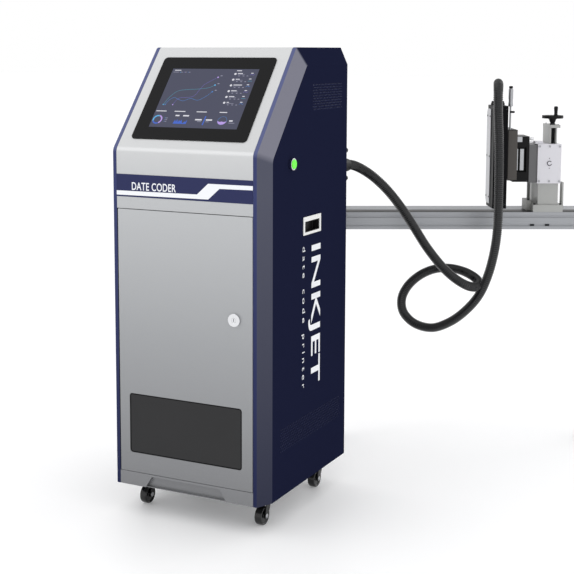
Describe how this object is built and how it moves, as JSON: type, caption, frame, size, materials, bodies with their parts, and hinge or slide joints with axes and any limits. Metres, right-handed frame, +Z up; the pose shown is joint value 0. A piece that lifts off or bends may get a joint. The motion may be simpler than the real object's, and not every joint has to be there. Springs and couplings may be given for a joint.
{
  "type": "date code inkjet printer",
  "caption": "Upright ink cabinet on castors with a sloping touch screen, joined by a ribbed umbilical hose to a print head on a height adjuster and rail.",
  "frame": {"origin": "on the floor, under the middle of the outline of cabinet, rail and head without the hose", "axes": "+X to the cabinet's right side seen from its front, +Y from the cabinet's front to its back, +Z up"},
  "size_m": [1.1864, 1.5048, 1.394],
  "materials": {
    "steel_grey": "satin",
    "navy_paint": "satin",
    "silver_paint": "satin",
    "band_film": "satin",
    "black_glass": "gloss",
    "screen": "gloss",
    "aluminium": "brushed",
    "chrome": "polished",
    "steel": "machined",
    "green_cap": "lit",
    "white_plastic": "satin",
    "black_plastic": "satin",
    "red_plastic": "gloss",
    "tank_plastic": "satin",
    "board_green": "matte",
    "tube_plastic": "satin",
    "window_black": "satin",
    "castor_black": "gloss",
    "wheel_black": "gloss",
    "rail_aluminium": "anodised",
    "adjuster_white": "satin",
    "slide_black": "anodised",
    "head_black": "satin",
    "nozzle_metal": "polished",
    "hose_black": "ribbed"
  },
  "bodies": {
    "cabinet": {"base_tray": "steel_grey", "frame_posts": "steel_grey", "frame_bars": "steel_grey", "side_panel_left": "navy_paint", "side_panel_right": "navy_paint", "rear_panel": "navy_paint", "top_cover": "navy_paint", "front_fascia": "silver_paint", "front_band": "band_film", "kick_panel": "silver_paint", "screen_bezel": "black_glass", "screen_panel": "screen", "controller_box": "aluminium", "button_barrel": "chrome", "data_port": "white_plastic", "rear_gland": "black_plastic", "rear_connectors": "black_plastic", "rear_fan": "black_plastic", "shelves": "steel_grey", "fluid_tanks": "tank_plastic", "fluid_pump": "aluminium", "valve_block": "aluminium", "fluid_tubes": "tube_plastic", "power_supply": "aluminium", "control_board": "board_green", "door_brackets": "steel", "castor_plates": "castor_black", "rail": "rail_aluminium", "rail_strip": "black_plastic", "rail_posts": "rail_aluminium", "rail_clamp": "adjuster_white", "guide_column": "adjuster_white", "hose": "hose_black"},
    "door": {"door": "silver_paint", "door_window": "window_black", "door_lock": "chrome"},
    "lock": {"lock_plug": "chrome"},
    "button": {"button_cap": "green_cap"},
    "mains_switch": {"mains_switch": "red_plastic"},
    "fan": {"fan_rotor": "black_plastic"},
    "spindle": {"lead_screw": "steel", "handwheel": "black_plastic"},
    "grip": {"handwheel_grip": "black_plastic"},
    "carriage": {"carriage": "adjuster_white", "carriage_cover": "adjuster_white", "slide_base": "slide_black"},
    "fine_screw": {"fine_screw": "steel"},
    "head": {"fine_slide": "slide_black", "print_head": "head_black", "head_side_plate": "steel", "nozzle_plate": "nozzle_metal", "head_gland": "black_plastic"},
    "swivel_fl": {"castor_fork_fl": "castor_black"},
    "wheel_fl": {"castor_wheel_fl": "wheel_black"},
    "swivel_fr": {"castor_fork_fr": "castor_black"},
    "wheel_fr": {"castor_wheel_fr": "wheel_black"},
    "swivel_rl": {"castor_fork_rl": "castor_black"},
    "wheel_rl": {"castor_wheel_rl": "wheel_black"},
    "swivel_rr": {"castor_fork_rr": "castor_black"},
    "wheel_rr": {"castor_wheel_rr": "wheel_black"}
  },
  "joints": [
    {"name": "door_hinge", "type": "hinge", "parent": "cabinet", "child": "door", "pos_m": [-0.55018, -0.74035, 0.492], "axis": [0, 0, -1], "range_deg": [0, 100]},
    {"name": "lock_turn", "type": "hinge", "parent": "door", "child": "lock", "pos_m": [-0.16718, -0.74635, 0.63], "axis": [0, 1, 0], "range_deg": [0, 90]},
    {"name": "button_press", "type": "slide", "parent": "cabinet", "child": "button", "axis": [-1, 0, 0], "range_m": [0, 0.003], "stiffness_N_per_m": 800},
    {"name": "mains_rocker", "type": "hinge", "parent": "cabinet", "child": "mains_switch", "pos_m": [-0.45118, -0.17835, 0.262], "axis": [1, 0, 0], "range_deg": [-10, 10]},
    {"name": "fan_spin", "type": "hinge", "parent": "cabinet", "child": "fan", "pos_m": [-0.33318, -0.21635, 1.212], "axis": [0, 1, 0], "continuous": true},
    {"name": "handwheel_turn", "type": "hinge", "parent": "cabinet", "child": "spindle", "pos_m": [0.39661, 0.52418, 1], "axis": [0, 0, 1], "range_deg": [-3600, 0]},
    {"name": "grip_spin", "type": "hinge", "parent": "spindle", "child": "grip", "pos_m": [0.41308, 0.50119, 1.18], "axis": [0, 0, 1], "continuous": true},
    {"name": "carriage_lift", "type": "slide", "parent": "cabinet", "child": "carriage", "axis": [0, 0, 1], "range_m": [-0.05, 0]},
    {"name": "fine_screw_turn", "type": "hinge", "parent": "carriage", "child": "fine_screw", "pos_m": [0.28989, 0.37618, 1], "axis": [0, 0, 1], "range_deg": [-1800, 1800]},
    {"name": "fine_lift", "type": "slide", "parent": "carriage", "child": "head", "axis": [0, 0, 1], "range_m": [-0.005, 0.005]},
    {"name": "swivel_turn_fl", "type": "hinge", "parent": "cabinet", "child": "swivel_fl", "pos_m": [-0.53118, -0.61435, 0.08], "axis": [0, 0, 1], "continuous": true},
    {"name": "wheel_roll_fl", "type": "hinge", "parent": "swivel_fl", "child": "wheel_fl", "pos_m": [-0.53118, -0.63835, 0.028], "axis": [1, 0, 0], "continuous": true},
    {"name": "swivel_turn_fr", "type": "hinge", "parent": "cabinet", "child": "swivel_fr", "pos_m": [-0.13518, -0.61435, 0.08], "axis": [0, 0, 1], "continuous": true},
    {"name": "wheel_roll_fr", "type": "hinge", "parent": "swivel_fr", "child": "wheel_fr", "pos_m": [-0.13518, -0.63835, 0.028], "axis": [1, 0, 0], "continuous": true},
    {"name": "swivel_turn_rl", "type": "hinge", "parent": "cabinet", "child": "swivel_rl", "pos_m": [-0.53118, -0.24635, 0.08], "axis": [0, 0, 1], "continuous": true},
    {"name": "wheel_roll_rl", "type": "hinge", "parent": "swivel_rl", "child": "wheel_rl", "pos_m": [-0.53118, -0.27035, 0.028], "axis": [1, 0, 0], "continuous": true},
    {"name": "swivel_turn_rr", "type": "hinge", "parent": "cabinet", "child": "swivel_rr", "pos_m": [-0.13518, -0.24635, 0.08], "axis": [0, 0, 1], "continuous": true},
    {"name": "wheel_roll_rr", "type": "hinge", "parent": "swivel_rr", "child": "wheel_rr", "pos_m": [-0.13518, -0.27035, 0.028], "axis": [1, 0, 0], "continuous": true}
  ],
  "couplings": [
    {"joint": "handwheel_turn", "follows": "carriage_lift", "rad_per_m": 1256.6},
    {"joint": "fine_screw_turn", "follows": "fine_lift", "rad_per_m": 6283.2}
  ]
}
